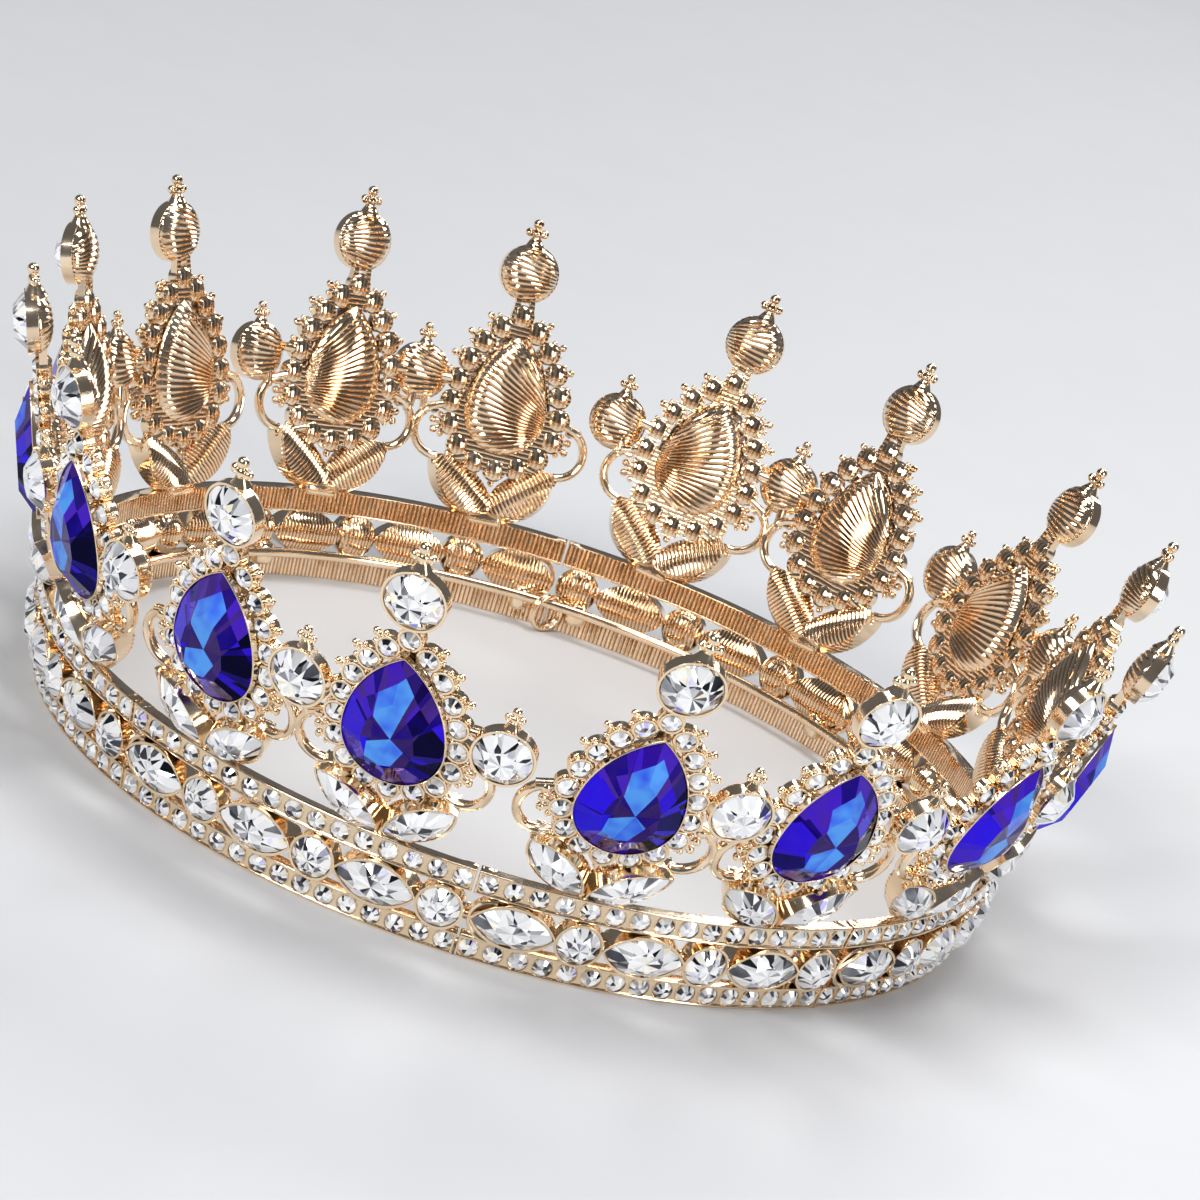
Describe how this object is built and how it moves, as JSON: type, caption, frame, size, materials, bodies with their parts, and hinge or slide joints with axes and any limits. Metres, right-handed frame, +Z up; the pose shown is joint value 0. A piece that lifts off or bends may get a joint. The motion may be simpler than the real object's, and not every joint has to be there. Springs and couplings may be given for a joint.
{
  "type": "crystal crown",
  "caption": "Round gold-tone crown of soldered cast panels with tall points, blue pear stones in halos of small clear stones, and an open band of clear stones.",
  "frame": {"origin": "centre of the base ring, on the floor under the lower rails", "axes": "+Z up along the crown's axis; -Y towards a seam between panels 8 and 1; X to the right seen from -Y"},
  "size_m": [0.151, 0.151, 0.0523],
  "materials": {
    "gold": "polished pale gold plating over cast metal",
    "blue_stone": "cut royal blue glass, foil backed",
    "clear_stone": "cut clear glass, foil backed"
  },
  "bodies": {
    "root": {"panel_1": "gold", "panel_2": "gold", "panel_3": "gold", "panel_4": "gold", "panel_5": "gold", "panel_6": "gold", "panel_7": "gold", "panel_8": "gold", "base_wire": "gold", "ring_1": "gold", "ring_2": "gold", "ring_3": "gold", "ring_4": "gold", "pear_1": "blue_stone", "pear_2": "blue_stone", "pear_3": "blue_stone", "pear_4": "blue_stone", "pear_5": "blue_stone", "pear_6": "blue_stone", "pear_7": "blue_stone", "pear_8": "blue_stone", "pear_9": "blue_stone", "pear_10": "blue_stone", "pear_11": "blue_stone", "pear_12": "blue_stone", "pear_13": "blue_stone", "pear_14": "blue_stone", "pear_15": "blue_stone", "pear_16": "blue_stone", "top_stone_1": "clear_stone", "top_stone_2": "clear_stone", "top_stone_3": "clear_stone", "top_stone_4": "clear_stone", "top_stone_5": "clear_stone", "top_stone_6": "clear_stone", "top_stone_7": "clear_stone", "top_stone_8": "clear_stone", "top_stone_9": "clear_stone", "top_stone_10": "clear_stone", "top_stone_11": "clear_stone", "top_stone_12": "clear_stone", "top_stone_13": "clear_stone", "top_stone_14": "clear_stone", "top_stone_15": "clear_stone", "top_stone_16": "clear_stone", "scroll_stones": "clear_stone", "leaf_stones": "clear_stone", "band_marquises": "clear_stone", "band_rounds": "clear_stone"}
  },
  "joints": []
}
